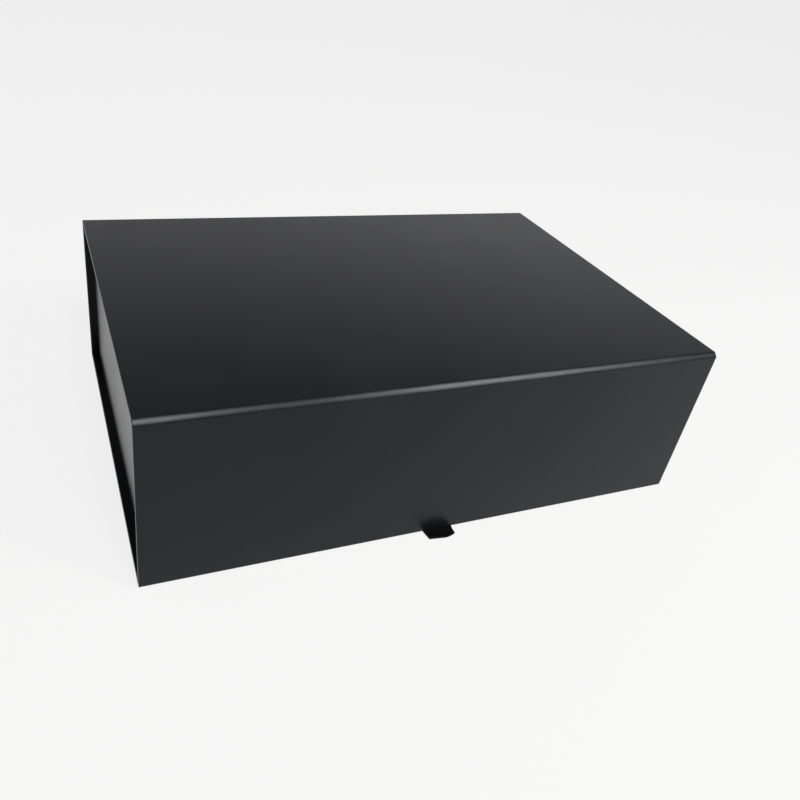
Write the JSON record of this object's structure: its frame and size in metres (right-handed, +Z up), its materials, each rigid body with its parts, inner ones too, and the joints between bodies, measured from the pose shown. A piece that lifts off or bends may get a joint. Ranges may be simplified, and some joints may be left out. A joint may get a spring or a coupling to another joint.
{
  "type": "magnetic gift box",
  "caption": "Black rigid gift box with a book-style hinged lid, a full-height front flap held shut by hidden magnets, and a ribbon pull tab under the flap.",
  "frame": {"origin": "the middle of the box's footprint, on the surface that it stands on", "axes": "+X along the flap, to the right for someone who faces it; -Y out of the flap; +Z up through the lid"},
  "size_m": [0.343, 0.2382, 0.105],
  "materials": {
    "wrap": "black art paper with a satin-matt film",
    "liner": "plain black uncoated paper",
    "greyboard": "raw greyboard",
    "tape": "brown kraft corner tape",
    "magnet": "bright nickel plate",
    "ribbon": "black satin weave"
  },
  "bodies": {
    "tray": {"base_wrap": "wrap", "base_crease": "wrap", "spine_wrap": "wrap", "tray_wrap": "wrap", "tray_wall_liner": "liner", "tray_floor_liner": "liner", "base_board": "greyboard", "spine_board": "greyboard", "tray_floor_board": "greyboard", "tray_front_board": "greyboard", "tray_back_board": "greyboard", "tray_left_board": "greyboard", "tray_right_board": "greyboard", "corner_stays": "tape", "tray_magnet_left": "magnet", "tray_magnet_right": "magnet"},
    "lid": {"lid_board": "greyboard", "lid_wrap": "wrap", "lid_liner": "liner", "lid_crease": "wrap"},
    "flap": {"flap_board": "greyboard", "flap_wrap": "wrap", "flap_liner": "liner", "flap_crease": "wrap", "flap_magnet_left": "magnet", "flap_magnet_right": "magnet", "ribbon_tab": "ribbon"}
  },
  "joints": [
    {"name": "lid_hinge", "type": "hinge", "parent": "tray", "child": "lid", "pos_m": [0, 0.11436, 0.10436], "axis": [-1, 0, 0], "range_deg": [0, 195], "deforming": ["lid_crease"]},
    {"name": "flap_hinge", "type": "hinge", "parent": "lid", "child": "flap", "pos_m": [0, -0.11436, 0.10436], "axis": [-1, 0, 0], "range_deg": [0, 90], "deforming": ["flap_crease"]}
  ]
}
